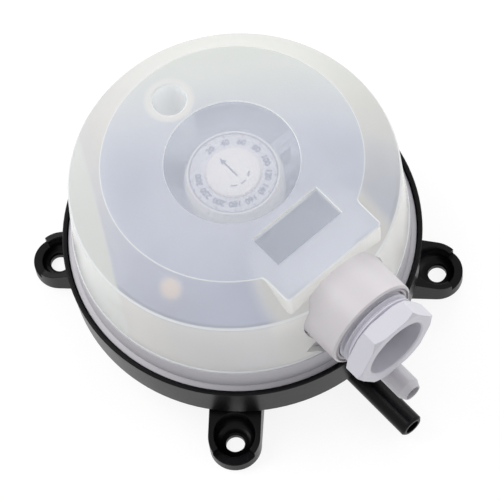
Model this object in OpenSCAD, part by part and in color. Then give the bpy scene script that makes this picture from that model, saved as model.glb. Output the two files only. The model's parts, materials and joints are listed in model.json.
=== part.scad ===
// Adjustable differential pressure switch for air, in millimetres.
// The mounting face lies at z = 0, the two ports and the cable gland point along -Y.
// A membrane between the two housings lifts a stem against the range spring. The stem's
// spring cup tips the lever of a snap-action switch. The knob sets the spring.

/* [Body] */
// Outer diameter of the lower housing at the foot of its rim
body_d = 85; // [82:0.5:90]
// Overall height from the mounting face to the top of the cover
body_h = 58; // [58:0.5:64]
// How much the rim widens from its foot to its top
rim_flare = 0.6; // [0.2:0.1:1.2]
// Height of the rim's foot above the mounting face
rim_z = 12; // [10:0.5:13]
// Depth of the rim above the membrane's seat
rim_depth = 9; // [8.8:0.1:11]
// Thickness of the rim at its top
rim_wall = 1.1; // [0.9:0.1:1.6]
// Radial step from the rim in to the pressure chamber
chamber_inset = 7; // [6:0.5:8]
// Height of the chamber above its floor
chamber_h = 12; // [11:0.5:14]
// Thickness of the chamber's wall
chamber_wall = 2; // [1.6:0.1:2.6]
// Thickness of the chamber's floor
floor_t = 2; // [1.6:0.1:3]

/* [Ears] */
// Diameter of the circle through the ear holes
ear_pcd = 92.8; // [92:0.2:98]
// Radius of an ear's screw hole
ear_hole_r = 2.25; // [2:0.05:2.6]
// Width of an ear
ear_w = 12.5; // [11:0.5:14]
// Thickness of an ear's floor
ear_floor = 1.8; // [1.4:0.1:2.4]
// Height of an ear at the foot of the rim
ear_root_h = 7.1; // [6.5:0.1:8]
// Height of an ear at its tip
ear_tip_h = 4.3; // [3.6:0.1:5]
// Thickness of the wall beside an ear's bowl
ear_wall = 1.25; // [1:0.05:1.8]
// Radius of the curve between the bowl's floor and its wall
ear_curve = 2.4; // [1.6:0.1:2.4]
// Height of the low lip at an ear's tip
ear_lip_h = 3; // [2.4:0.1:4]
// Half angle of the low lip, seen from the hole
ear_lip_angle = 53; // [40:1:65]
// Radius of the countersink in an ear's floor
ear_sink_r = 2.6; // [2.4:0.1:3]

/* [Ports] */
// Outer radius of both port tubes
port_r = 3; // [2.6:0.1:3.2]
// Radius of the bore in both port tubes
port_bore_r = 1.9; // [1.4:0.1:2]
// Height of the lower port's axis
port_low_z = 5; // [4.5:0.1:6]
// Distance from the main axis to the lower port's end
port_low_reach = 59.5; // [54:0.5:66]
// Distance from the main axis to the upper port's end
port_high_reach = 60; // [54:0.5:66]
// Length of the bevel at the upper port's tip
port_tip = 1.6; // [1:0.1:2.4]
// Radial step of the collar at the root of both port tubes
port_root = 0.7; // [0.4:0.1:0.8]

/* [Membrane] */
// Thickness of the membrane's clamped edge
bead_t = 1; // [0.8:0.1:1.4]
// Thickness of the membrane
film_t = 0.6; // [0.4:0.1:0.8]
// Radius of the membrane's roll
roll_r = 2.7; // [2.2:0.1:3]
// Radius of the stiff disc on the membrane
plate_r = 26.2; // [24:0.1:26.6]
// Thickness of the stiff discs
plate_t = 1.2; // [0.8:0.1:1.6]
// Radius of the stem
stem_r = 2.5; // [2.2:0.1:2.8]
// Lift of the stem from rest to its stop
stem_lift = 1; // [0.6:0.1:1.2]

/* [Upper housing] */
// Depth of the chamber over the membrane
upper_chamber_h = 5; // [4.6:0.1:6]
// Thickness of the deck between chamber and wiring space
deck_t = 2.3; // [2:0.1:3]
// Height of the grey wall that shows under the cover
skirt_h = 6.7; // [6.5:0.1:8]
// Radial step from the flange in to the grey wall
skirt_inset = 1.3; // [0.9:0.1:1.8]
// Height of the lip that centres the cover
lip_h = 3; // [2:0.5:4]
// Outer radius of the spring tower
tower_r = 9.4; // [9:0.1:10.4]
// Wall thickness of the spring tower
tower_wall = 2.2; // [1.8:0.1:2.4]
// Distance of the straight inner screen from the main axis
screen_reach = 30.5; // [29:0.5:31]
// Height of the straight inner screen above the deck
screen_h = 23.5; // [16:0.5:24]

/* [Setting knob] */
// Radius of the knob's skirt
knob_r = 11.6; // [10.8:0.1:13]
// Radius of the knob's face
knob_face_r = 10.4; // [9.5:0.1:10.6]
// Radius of the knob's centre boss
knob_boss_r = 6.4; // [5.5:0.1:7]
// Height of the knob
knob_h = 8.8; // [8:0.1:9.4]
// Gap between the knob's face and the underside of the cover
knob_gap = 3.8; // [2.5:0.1:4]
// Radius of the adjuster screw
adjuster_r = 3; // [2.7:0.1:3.2]
// Travel of the spring nut over the knob's whole turn
nut_travel = 5; // [4:0.1:5]

/* [Cover] */
// Wall thickness of the cover
cover_wall = 1.9; // [1.6:0.1:2.2]
// Inward lean of the cover's wall from foot to shoulder
cover_lean = 1.45; // [0.8:0.05:2]
// Height from the shoulder to the cover's top
shoulder_drop = 8; // [6:0.5:8.5]
// Radius of the flat disc on top
disc_r = 30.1; // [29:0.1:31.5]
// Radius of the clear window
window_r = 15.75; // [14:0.25:16.5]
// Depth of the window and of the label field below the disc
field_depth = 0.4; // [0.2:0.1:0.6]
// Distance of the screw well from the main axis
well_reach = 22; // [21.5:0.25:23]
// Inner radius of the screw well
well_r = 4; // [3.6:0.1:4.2]
// Wall thickness of the screw well
well_wall = 1.2; // [1:0.1:1.4]
// Width of the label field
label_w = 19.2; // [14:0.2:22]
// Depth of the label field
label_d = 8.6; // [6:0.2:9]
// Distance of the label field's centre from the main axis
label_reach = 22.4; // [21:0.1:23]
// Width of the box over the gland
box_w = 28.5; // [28:0.5:32]
// Distance of the box's front face from the main axis
box_reach = 35.3; // [35:0.1:36.5]
// Radius of the box's upright front edges
box_round = 1.2; // [0.6:0.1:1.6]
// Radius of the fillet between the box and the disc on top
fillet_r = 3; // [1.5:0.1:4]
// Half width of the opening in the cover's foot, below the collar
foot_gap = 8.5; // [6:0.1:10]

/* [Cable gland] */
// Outer radius of the gland collar
collar_r = 11.65; // [11.4:0.05:12]
// Distance of the gland axis below the cover's top
gland_drop = 14.8; // [14.6:0.1:16]
// Distance of the collar's mouth from the main axis
collar_reach = 47; // [45:0.5:52]
// Crest radius of the gland screw's thread
gland_thread_r = 9.8; // [9.4:0.1:10]
// Pitch of the gland thread
gland_pitch = 1.5; // [1:0.25:2]
// Width across the flats of the gland screw's head
gland_flats = 20; // [19:0.5:22]
// Thickness of the gland screw's head
gland_head_t = 5; // [4:0.5:7]
// Gap between the collar's mouth and the gland screw's head
gland_gap = 3.1; // [1:0.1:5]
// Radius of the hole through the gland screw
gland_bore_r = 7.7; // [6.5:0.1:8]
// Bevel on the corners of the gland screw's head
gland_bevel = 0.8; // [0.4:0.1:1.2]
// Radius of the cable hole in the seal
cable_r = 5; // [3:0.25:6]

/* [Hidden] */
$fn = 96;

// Clearances
run = 0.05;      // shaft in a bore that turns or slides
ease = 0.3;      // curved faces of neighbours
slip = 0.2;      // flat faces that pass each other
eps = 0.01;      // overlap inside one solid

// Radii, from the rim inwards
rim_r = body_d / 2;
rim_top_r = rim_r + rim_flare;
socket_r = rim_top_r - rim_wall;
flange_r = socket_r - ease;
skirt_r = flange_r - skirt_inset;
chamber_r = rim_r - chamber_inset;
clamp_r = chamber_r - chamber_wall;
cover_r = skirt_r - 0.2;
cover_in_r = cover_r - cover_wall;
shoulder_r = cover_r - cover_lean;
lip_r = cover_in_r - slip;
lip_wall = 1.4;
skirt_in_r = lip_r - lip_wall;

// Heights, from the mounting face upwards
seat_z = floor_t + chamber_h;
rim_top_z = seat_z + rim_depth;
film_z = seat_z + bead_t / 2;
flange_z = seat_z + bead_t;
deck_low_z = flange_z + upper_chamber_h;
deck_z = deck_low_z + deck_t;
skirt_z = deck_z + skirt_h;
shoulder_z = body_h - shoulder_drop;
knob_top_z = body_h - cover_wall - knob_gap;
knob_z = knob_top_z - knob_h;
cap_t = 2.2;
cap_z = knob_z - ease;
tower_z = cap_z - cap_t;

// Ports
port_high_z = skirt_z - port_r + 0.2;
port_elbow = 32;
port_low_root_y = chamber_r + 0.8;
port_high_root_y = rim_top_r + slip;
port_bevel = 0.5;
port_block_t = 1;
elbow_back = 4;

// Ears
ear_angles = [45, 135, 225, 315];
ear_r = ear_pcd / 2;
ear_tip_r = ear_r + ear_w / 2;
ear_foot_r = chamber_r - 1;
ear_bowl_r = ear_w / 2 - ear_wall;
ear_bowl_shift = 0.5;
ear_sink_t = 0.4;

// Stem, cup, spring and nut
rivet_r = 1.9;
rivet_head_r = 3.2;
rivet_head_t = 0.8;
plate_z = film_z + film_t / 2;
washer_z = film_z - film_t / 2 - plate_t;
cup_z = deck_z + stem_lift + 0.7;
cup_r = tower_r - tower_wall - 0.8;
cup_t = 1.2;
cup_rim_h = 1.3;
cup_rim_t = 0.5;
wire_r = 0.45;
coil_r = cup_r - cup_rim_t - wire_r - 0.1;
coil_turns = 5;
nut_t = 2.6;
collar_t = 1.3;
nut_top_z = tower_z - collar_t - ease;
nut_z = nut_top_z - nut_t;
nut_r = tower_r - tower_wall - slip;
wing_w = 3;
wing_r = tower_r - 0.6;
cap_screw_r = 0.55;
cap_head_r = 1.05;
cap_head_t = 1;
cap_screw_bite = 3;
spigot_top_z = cup_z + cup_t + 1.8;
adjuster_low_z = spigot_top_z + stem_lift + 0.5;
drive_r = 2.4;
drive_h = 5.5;

// Snap-action switch, its long side along X
switch_l = 19.8;
switch_w = 6.4;
switch_h = 10.2;
switch_x = tower_r + 2.4;
lever_t = 0.5;
lever_w = 4;
lever_tip_x = cup_r - 0.6;
lever_z = cup_z + cup_t + cup_rim_h + slip;
hinge_x = switch_x + switch_l - 2.8;
hinge_r = 0.8;
plunger_x = switch_x + 7;
plunger_r = 1.2;
plunger_rest = 1.2;
switch_z = lever_z + lever_t + slip + plunger_rest;
hinge_z = switch_z - hinge_r - 0.5;
switch_hole_gap = 9.5;
switch_hole_r = 1.2;
switch_screw_r = switch_hole_r - 0.35;
switch_hole_x = [for (s = [-1, 1]) plunger_x - 1 + s * switch_hole_gap / 2];
switch_head_r = 2;
switch_head_t = 1.3;
bracket_t = 2.2;
slot_w = lever_w + 2 * ease;
slot_below = 1.2;
slot_above = 2.2;
hinge_pin_r = 0.5;
hinge_ear_t = 2.6;
tab_w = 2.8;
tab_t = 0.5;
tab_h = 5;
tab_gap = 6.4;

// Terminals
strip_w = 30;
strip_d = 9;
strip_h = 9;
strip_y = -21;
terminal_gap = 9.4;
terminal_r = 1.5;
terminal_head_r = 2.9;
terminal_head_t = 1.8;
terminal_bite = 4;
pocket_w = 6.8;
pocket_h = 3.4;
clamp_w = 6;
clamp_d = 6.6;
clamp_t = 1;
earth_x = -26;
earth_y = -6.3;
earth_pillar_h = 11;
earth_pillar_r = 3.6;
earth_z = deck_z + earth_pillar_h;
earth_bite = 7;

// Cover, and its screw and pillar
top_bevel = 0.35;
box_back = 12;
cover_screw_ease = 0.35;
well_floor_t = 1.6;
pillar_h = 14;
pillar_z = deck_z + pillar_h;
pillar_r = well_r + well_wall - 0.8;
cover_screw_r = 1.6;
cover_head_r = well_r - 0.6;
cover_head_t = 2.2;
cover_screw_bite = 6.5;
screw_end_gap = 1;

// Gland, along -Y
gland_z = body_h - gland_drop;
cradle_y = box_reach - cover_wall - ease;
cradle_t = 2;
cradle_w = 26;
neck_r = 9.4;
collar_flange_t = 1.8;
collar_in_r = gland_thread_r + 0.1;
seal_seat_y = cradle_y + 3;
seal_t = 4.4;
seal_r = collar_in_r - slip;
gland_washer_t = 0.8;
neck_bore_r = 7;
arch_gap = 0.45;
notch_w = 12.6;
notch_z = skirt_z + 3.4;
notch_top_w = 9.4;
notch_top_z = gland_z - 7.2;
mouth_groove_r = 11;
mouth_lip_r = 10.65;
mouth_depth = 0.5;
mouth_step = 0.25;
mouth_bevel = 0.4;
gland_root_r = gland_thread_r - 0.8;
thread_flank = 0.55;
thread_crest = 0.3;
gland_tip_y = seal_seat_y + seal_t + gland_washer_t + ease;
gland_back_y = collar_reach + gland_gap;
gland_front_y = gland_back_y + gland_head_t;

// Screws from below
housing_screw_r = 1.4;
housing_head_r = 2.5;
housing_head_t = 1.6;
housing_screw_gap = (clamp_r + socket_r) / 2;
housing_seat_z = seat_z - 2;
housing_bite = 3.5;
housing_screw_angles = [for (i = [0:5]) 60 * i];

// Points along an arc, for profiles
function arc(c, r, from, to, steps) = [for (i = [0:steps])
    let (a = from + (to - from) * i / steps) [c[0] + r * cos(a), c[1] + r * sin(a)]];

// A cylinder that points along -Y, from one distance to another
module bar_y(r, from, to, z, x = 0, r_end = -1) {
    translate([x, -from, z]) rotate([90, 0, 0])
        cylinder(r1 = r, r2 = r_end < 0 ? r : r_end, h = to - from);
}

// A solid turned about the gland's axis, its profile's heights counted along -Y
module turned() {
    translate([0, 0, gland_z]) rotate([90, 0, 0]) rotate_extrude() children();
}

// An upright ring
module ring(r_out, r_in, z_low, z_high) {
    translate([0, 0, z_low]) difference() {
        cylinder(r = r_out, h = z_high - z_low);
        translate([0, 0, -1]) cylinder(r = r_in, h = z_high - z_low + 2);
    }
}

// A pan-head screw with a cross recess, head up, its seat at z = 0
module pan_screw(r, head_r, head_t, length) {
    recess = head_r * 0.28;
    difference() {
        union() {
            translate([0, 0, -length]) cylinder(r = r, h = length + eps);
            rotate_extrude() polygon(concat([[0, 0], [head_r, 0], [head_r, head_t * 0.45]],
                arc([head_r - head_t * 0.55, head_t * 0.45], head_t * 0.55, 0, 90, 5),
                [[0, head_t]]));
        }
        for (a = [0, 90]) rotate(a) translate([-head_r * 0.62, -recess / 2, head_t * 0.45])
            cube([head_r * 1.24, recess, head_t]);
    }
}

// The outline of an ear, along +X
module ear_outline() {
    translate([ear_r, 0]) circle(r = ear_w / 2, $fn = 64);
    translate([ear_foot_r, -ear_w / 2]) square([ear_r - ear_foot_r, ear_w]);
}

// The block of an ear, its top sloping from the rim down to the tip
module ear_block() {
    slope = (ear_root_h - ear_tip_h) / (ear_tip_r - rim_r);
    foot_h = ear_root_h + slope * (rim_r - ear_foot_r);
    intersection() {
        linear_extrude(foot_h + 1) ear_outline();
        translate([0, ear_w, 0]) rotate([90, 0, 0]) linear_extrude(2 * ear_w)
            polygon([[ear_foot_r - 1, 0], [ear_tip_r + 1, 0], [ear_tip_r + 1, ear_tip_h - slope],
                [ear_foot_r - 1, foot_h + slope]]);
    }
}

// One screw ear, along +X, with a bowl for the screw's head and a low lip at its tip
module ear() {
    bowl_top_z = ear_root_h + 1.5;
    difference() {
        ear_block();
        translate([ear_r - ear_bowl_shift, 0, 0]) rotate_extrude($fn = 64) polygon(concat(
            [[0, ear_floor]],
            arc([ear_bowl_r - ear_curve, ear_floor + ear_curve], ear_curve, -90, 0, 6),
            [[ear_bowl_r, bowl_top_z], [0, bowl_top_z]]));
        translate([ear_r, 0, ear_lip_h]) linear_extrude(ear_root_h)
            polygon([[0, 0], [ear_w, -ear_w * tan(ear_lip_angle)],
                [ear_w, ear_w * tan(ear_lip_angle)]]);
        translate([ear_r, 0, -1]) cylinder(r = ear_hole_r, h = ear_floor + 2, $fn = 48);
        translate([ear_r, 0, ear_floor - ear_sink_t]) cylinder(r1 = ear_hole_r, r2 = ear_sink_r,
            h = ear_sink_t + eps, $fn = 48);
    }
}

module lower_housing() {
    color("#1c1b1e") difference() {
        union() {
            rotate_extrude() polygon([[0, 0], [chamber_r - 0.8, 0], [chamber_r, 0.8],
                [chamber_r, rim_z - 3.5], [rim_r - 0.6, rim_z - 0.4], [rim_r, rim_z],
                [rim_top_r, rim_top_z - 0.3], [rim_top_r - 0.3, rim_top_z],
                [socket_r, rim_top_z], [socket_r, seat_z], [clamp_r, seat_z],
                [clamp_r, floor_t], [0, floor_t]]);
            for (a = ear_angles) rotate(a) ear();
            bar_y(port_r + port_root, chamber_r - 1, port_low_root_y, port_low_z);
            bar_y(port_r, chamber_r - 1, port_low_reach - port_bevel, port_low_z);
            bar_y(port_r, port_low_reach - port_bevel, port_low_reach, port_low_z, 0,
                port_r - port_bevel);
        }
        bar_y(port_bore_r, clamp_r - 3, port_low_reach + 1, port_low_z);
        for (a = housing_screw_angles) rotate(a) translate([housing_screw_gap, 0, -1]) {
            cylinder(r = housing_screw_r + slip, h = seat_z + 2, $fn = 32);
            cylinder(r = housing_head_r + slip, h = housing_seat_z + 1, $fn = 32);
        }
    }
}

// Straight screen wall inside the wiring space
module screen() {
    half = sqrt(pow(skirt_in_r - 1, 2) - pow(screen_reach, 2));
    rotate(150) translate([screen_reach - 1.8, -half, deck_z - eps]) cube([1.8, 2 * half, screen_h]);
}

// Plate with an open-topped slot that carries the gland collar
module cradle() {
    difference() {
        translate([-cradle_w / 2, -cradle_y, deck_z - eps]) cube([cradle_w, cradle_t,
            gland_z - deck_z]);
        bar_y(neck_r + slip / 2, cradle_y - cradle_t - 1, cradle_y + 1, gland_z);
    }
}

// Side wall that the snap-action switch is screwed to
module switch_bracket() {
    translate([switch_x, switch_w / 2 + slip / 2, deck_z - eps])
        cube([switch_l, bracket_t, switch_z + switch_h - deck_z]);
}

// A screw's hole, down from z = 0, a little deeper than the screw bites
module blind_hole(r, bite) {
    translate([0, 0, -bite - screw_end_gap]) cylinder(r = r, h = bite + screw_end_gap + 1, $fn = 32);
}

// Block on the deck in which the upper port's bore turns down
module port_block() {
    half = port_r + port_block_t;
    translate([-half, -skirt_in_r - 1, deck_z - eps]) cube([2 * half,
        skirt_in_r + 1 - port_elbow + elbow_back, skirt_h + 0.3]);
}

// Collar at the upper port's root, flat below where it passes over the rim
module port_high_root() {
    low = rim_top_z + slip / 2;
    intersection() {
        bar_y(port_r + port_root, skirt_in_r, port_high_root_y, port_high_z);
        translate([-port_r - port_root, -port_high_root_y - 1, low])
            cube([2 * (port_r + port_root), port_high_root_y, skirt_z]);
    }
}

module upper_housing() {
    color("#c9c6d2") difference() {
        union() {
            rotate_extrude() polygon([[0, deck_low_z], [clamp_r, deck_low_z],
                [clamp_r, flange_z], [flange_r, flange_z], [flange_r, deck_z],
                [skirt_r, deck_z + 0.3], [skirt_r, skirt_z], [lip_r, skirt_z],
                [lip_r, skirt_z + lip_h], [skirt_in_r, skirt_z + lip_h], [skirt_in_r, deck_z],
                [0, deck_z]]);
            ring(tower_r, tower_r - tower_wall, deck_z - eps, tower_z);
            bar_y(port_r, skirt_in_r, port_high_reach - port_tip, port_high_z);
            port_high_root();
            bar_y(port_r, port_high_reach - port_tip, port_high_reach, port_high_z, 0,
                port_bore_r + 0.3);
            port_block();
            translate([0, well_reach, deck_z - eps]) cylinder(r = pillar_r, h = pillar_h);
            translate([earth_x, earth_y, deck_z - eps]) cylinder(r = earth_pillar_r,
                h = earth_pillar_h + eps);
            cradle();
            intersection() {
                screen();
                cylinder(r = skirt_in_r + eps, h = body_h);
            }
            switch_bracket();
        }
        translate([0, 0, deck_low_z - 1]) cylinder(r = stem_r + run, h = deck_t + 2);
        bar_y(port_bore_r, port_elbow, port_high_reach + 1, port_high_z);
        translate([0, -port_elbow, deck_low_z - 1]) cylinder(r = port_bore_r,
            h = port_high_z - deck_low_z + 1);
        translate([0, well_reach, pillar_z]) blind_hole(cover_screw_r - cover_screw_ease + run,
            cover_screw_bite);
        translate([earth_x, earth_y, earth_z]) blind_hole(terminal_r + run, earth_bite);
        // Slot for the switch lever, and two slots for the nut's wings
        translate([0, -slot_w / 2, lever_z - slot_below]) cube([tower_r + 1, slot_w,
            slot_below + lever_t + slot_above]);
        for (s = [0, 180]) rotate(s) translate([-wing_w / 2 - slip, 0, nut_z - nut_travel - 1])
            cube([wing_w + 2 * slip, tower_r + 1, tower_z]);
        // Saddle for the collar in the centring lip
        bar_y(collar_r + arch_gap, cradle_y, skirt_r + 1, gland_z);
        for (x = switch_hole_x) translate([x, 0, switch_z + switch_h / 2]) rotate([-90, 0, 0])
            cylinder(r = switch_screw_r + run, h = switch_w / 2 + slip + bracket_t + 1, $fn = 32);
        for (a = housing_screw_angles) rotate(a) translate([housing_screw_gap, 0, flange_z - 1])
            cylinder(r = housing_screw_r - 0.2 + run, h = 1 + housing_bite + screw_end_gap, $fn = 32);
        for (s = [-1, 1]) translate([s * (tower_r - tower_wall / 2), 0, tower_z])
            blind_hole(cap_screw_r + run, cap_screw_bite);
    }
}

module diaphragm() {
    color("#8f5a3c") difference() {
        union() {
            ring(socket_r - 0.1, clamp_r - 0.5, seat_z, flange_z);
            ring(clamp_r, clamp_r - 1, film_z - film_t / 2, film_z + film_t / 2);
            ring(clamp_r - 0.6 - 2 * roll_r + film_t, rivet_r + 0.1, film_z - film_t / 2,
                film_z + film_t / 2);
            translate([0, 0, film_z + film_t / 2]) rotate_extrude()
                translate([clamp_r - 0.8 - roll_r, 0]) difference() {
                    circle(r = roll_r, $fn = 64);
                    circle(r = roll_r - film_t, $fn = 64);
                    translate([-10, 0]) square([20, 10]);
                }
        }
        for (a = housing_screw_angles) rotate(a) translate([housing_screw_gap, 0, seat_z - 1])
            cylinder(r = housing_screw_r + slip, h = 4, $fn = 32);
    }
}

module diaphragm_plate() {
    color("#b9bcc2") difference() {
        rotate_extrude() polygon([[0, plate_z], [plate_r, plate_z], [plate_r, plate_z + 2.2],
            [plate_r - 0.8, plate_z + 2.2], [plate_r - 1.2, plate_z + plate_t],
            [0, plate_z + plate_t]]);
        translate([0, 0, plate_z - 1]) cylinder(r = rivet_r + run, h = 6);
    }
}

module backing_washer() {
    color("#b9bcc2") ring(plate_r - 3, rivet_r + run, washer_z, washer_z + plate_t);
}

module stem() {
    color("#d8dadf") {
        translate([0, 0, washer_z - rivet_head_t]) cylinder(r = rivet_head_r, h = rivet_head_t);
        translate([0, 0, washer_z - eps]) cylinder(r = rivet_r,
            h = plate_z + plate_t - washer_z + 2 * eps);
        translate([0, 0, plate_z + plate_t]) cylinder(r = stem_r, h = cup_z - plate_z - plate_t);
        translate([0, 0, cup_z - eps]) cylinder(r = rivet_r, h = spigot_top_z - cup_z - 0.6);
        translate([0, 0, spigot_top_z - 0.6 - 2 * eps]) cylinder(r1 = rivet_r, r2 = rivet_r - 0.6,
            h = 0.6 + eps);
    }
}

module spring_cup() {
    color("#e3d9c0") {
        ring(cup_r, rivet_r + run, cup_z, cup_z + cup_t);
        ring(cup_r, cup_r - cup_rim_t, cup_z + cup_t - eps, cup_z + cup_t + cup_rim_h);
    }
}

// Compression spring: one closed tube swept along a helix with flat end turns
module range_spring() {
    low = cup_z + cup_t + wire_r + 0.05;
    high = nut_z - wire_r - 0.05;
    sides = 8;
    steps = coil_turns * 20;
    // The pitch grows from a closed end turn, is even between, and closes again
    function ramp(t) = t < 0.16 ? t * t / 0.32 : t > 0.84 ? 0.84 - pow(1 - t, 2) / 0.32
        : t - 0.08;
    function height(t) = low + (high - low) * ramp(t) / 0.84;
    function ring_at(i) = let (a = 360 * coil_turns * i / steps, h = height(i / steps))
        [for (k = [0:sides - 1]) let (b = 360 * k / sides) [(coil_r + wire_r * cos(b)) * cos(a),
            (coil_r + wire_r * cos(b)) * sin(a), h + wire_r * sin(b)]];
    color("#9da1a8") polyhedron(
        points = [for (i = [0:steps]) each ring_at(i)],
        faces = concat([[for (k = [0:sides - 1]) k]],
            [for (i = [0:steps - 1], k = [0:sides - 1]) [i * sides + k, (i + 1) * sides + k,
                (i + 1) * sides + (k + 1) % sides, i * sides + (k + 1) % sides]],
            [[for (k = [sides - 1:-1:0]) steps * sides + k]]));
}

module spring_nut() {
    color("#e3d9c0") difference() {
        union() {
            translate([0, 0, nut_z]) cylinder(r = nut_r, h = nut_t);
            translate([-wing_w / 2, -wing_r, nut_z]) cube([wing_w, 2 * wing_r, nut_t]);
        }
        translate([0, 0, nut_z - 1]) cylinder(r = adjuster_r + run, h = nut_t + 2);
    }
}

module adjuster_screw() {
    color("#c9a86a") difference() {
        union() {
            translate([0, 0, adjuster_low_z]) cylinder(r = adjuster_r,
                h = tower_z - adjuster_low_z);
            translate([0, 0, tower_z - collar_t]) cylinder(r = adjuster_r + 1.6,
                h = collar_t - run);
            translate([0, 0, tower_z - eps - run]) cylinder(r = adjuster_r,
                h = cap_t + 2 * run + eps);
            translate([0, 0, cap_z]) cylinder(r = drive_r, h = drive_h + ease);
        }
        // Flat that keys the screw to the knob
        translate([drive_r - 0.6, -drive_r, cap_z + run]) cube([2, 2 * drive_r, drive_h + 1]);
    }
}

module tower_cap() {
    color("#c9c6d2") difference() {
        translate([0, 0, tower_z]) cylinder(r = tower_r, h = cap_t);
        translate([0, 0, tower_z - 1]) cylinder(r = adjuster_r + run, h = cap_t + 2);
        for (s = [-1, 1]) translate([s * (tower_r - tower_wall / 2), 0, cap_z - cap_head_t]) {
            translate([0, 0, -cap_t]) cylinder(r = cap_screw_r + slip, h = 2 * cap_t, $fn = 32);
            cylinder(r = cap_head_r + slip, h = cap_head_t + 1, $fn = 32);
        }
    }
}

module tower_cap_screws() {
    color("#d8dadf") for (s = [-1, 1])
        translate([s * (tower_r - tower_wall / 2), 0, cap_z - cap_head_t])
        pan_screw(cap_screw_r, cap_head_r, cap_head_t - run, cap_t - cap_head_t + cap_screw_bite);
}

module setting_knob() {
    grips = 30;
    color("#f0eeec") difference() {
        rotate_extrude() polygon([[drive_r + 0.05, knob_z], [drive_r + 2.4, knob_z],
            [drive_r + 2.4, knob_top_z - 2.4], [knob_r - 1.6, knob_top_z - 2.4],
            [knob_r - 1.3, knob_z], [knob_r, knob_z], [knob_r, knob_top_z - 2.6],
            [knob_face_r + 0.4, knob_top_z], [knob_face_r, knob_top_z],
            [knob_face_r, knob_top_z - 0.4], [knob_boss_r, knob_top_z - 0.4],
            [knob_boss_r, knob_top_z + 0.1], [knob_boss_r - 0.3, knob_top_z + 0.4],
            [0, knob_top_z + 0.4], [0, cap_z + drive_h + ease + slip],
            [drive_r + 0.05, cap_z + drive_h + ease + slip]]);
        for (i = [0:grips - 1]) rotate(360 * i / grips) translate([knob_r + 0.25, 0, knob_z - 1])
            cylinder(r = 0.55, h = knob_h - 2.4, $fn = 16);
    }
}

module scale_disc() {
    color("#e4e2e6") ring(knob_face_r - 0.05, knob_boss_r + 0.05, knob_top_z - 0.4,
        knob_top_z - 0.1);
}

module switch_body() {
    color("#d5d3da") difference() {
        translate([switch_x, -switch_w / 2, switch_z]) cube([switch_l, switch_w, switch_h]);
        translate([plunger_x, 0, switch_z - 1]) cylinder(r = plunger_r + run, h = 4);
        for (x = switch_hole_x) translate([x, -switch_w, switch_z + switch_h / 2])
            rotate([-90, 0, 0]) cylinder(r = switch_hole_r, h = 2 * switch_w, $fn = 32);
    }
    color("#c8a050") for (i = [-1:1]) translate([switch_x + switch_l / 2 + i * tab_gap - tab_w / 2,
        -tab_t / 2, switch_z + switch_h - eps]) cube([tab_w, tab_t, tab_h]);
    // Ears that the lever's pin turns in
    color("#d5d3da") for (s = [-1, 1]) difference() {
        translate([hinge_x - hinge_ear_t / 2, s > 0 ? lever_w / 2 + slip / 2 : -switch_w / 2,
            hinge_z - hinge_r - 0.5]) cube([hinge_ear_t, switch_w / 2 - lever_w / 2 - slip / 2,
            switch_z - hinge_z + hinge_r + 0.5 + eps]);
        translate([hinge_x, -switch_w, hinge_z]) rotate([-90, 0, 0])
            cylinder(r = hinge_pin_r + run, h = 2 * switch_w, $fn = 32);
    }
}

module switch_lever() {
    color("#d8dadf") {
        translate([lever_tip_x, -lever_w / 2, lever_z]) cube([hinge_x - lever_tip_x, lever_w,
            lever_t]);
        translate([hinge_x - hinge_r, -lever_w / 2, lever_z]) cube([2 * hinge_r, lever_w,
            hinge_z - lever_z]);
        translate([hinge_x, -lever_w / 2, hinge_z]) rotate([-90, 0, 0]) cylinder(r = hinge_r,
            h = lever_w, $fn = 32);
        translate([hinge_x, -switch_w / 2, hinge_z]) rotate([-90, 0, 0])
            cylinder(r = hinge_pin_r, h = switch_w, $fn = 32);
    }
}

module switch_plunger() {
    color("#b03a2e") translate([plunger_x, 0, switch_z - plunger_rest]) cylinder(r = plunger_r,
        h = plunger_rest + 1.6, $fn = 48);
}

module switch_screws() {
    color("#d8dadf") for (x = switch_hole_x) translate([x, -switch_w / 2,
        switch_z + switch_h / 2]) rotate([90, 0, 0])
        pan_screw(switch_screw_r, switch_head_r, switch_head_t, switch_w + bracket_t);
}

module terminal_block() {
    color("#cfccd6") difference() {
        translate([-strip_w / 2, strip_y - strip_d / 2, deck_z]) cube([strip_w, strip_d, strip_h]);
        for (i = [-1:1]) translate([i * terminal_gap, strip_y, deck_z + strip_h]) {
            translate([-pocket_w / 2, -strip_d / 2 - 1, -pocket_h])
                cube([pocket_w, strip_d / 2 + 1 + terminal_head_r + slip, pocket_h + 1]);
            translate([0, 0, -pocket_h]) blind_hole(terminal_r + run, terminal_bite);
        }
    }
}

module terminal_clamps() {
    color("#c8a050") for (i = [-1:1]) difference() {
        translate([i * terminal_gap - clamp_w / 2, strip_y - strip_d / 2 + 2 * slip,
            deck_z + strip_h - pocket_h]) cube([clamp_w, clamp_d, clamp_t]);
        translate([i * terminal_gap, strip_y, deck_z + strip_h - pocket_h - 1])
            cylinder(r = terminal_r + run, h = clamp_t + 2, $fn = 32);
    }
}

module terminal_screws() {
    color("#d8dadf") for (i = [-1:1]) translate([i * terminal_gap, strip_y,
        deck_z + strip_h - pocket_h + clamp_t]) pan_screw(terminal_r, terminal_head_r,
        terminal_head_t, clamp_t + terminal_bite);
}

module earth_clamp() {
    color("#c8a050") difference() {
        translate([earth_x, earth_y, earth_z]) cylinder(r = earth_pillar_r - slip, h = clamp_t);
        translate([earth_x, earth_y, earth_z - 1])
            cylinder(r = terminal_r + run, h = clamp_t + 2, $fn = 32);
    }
}

module earth_screw() {
    color("#c8a050") translate([earth_x, earth_y, earth_z + clamp_t])
        pan_screw(terminal_r, terminal_head_r, terminal_head_t + 0.2, clamp_t + earth_bite);
}

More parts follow.
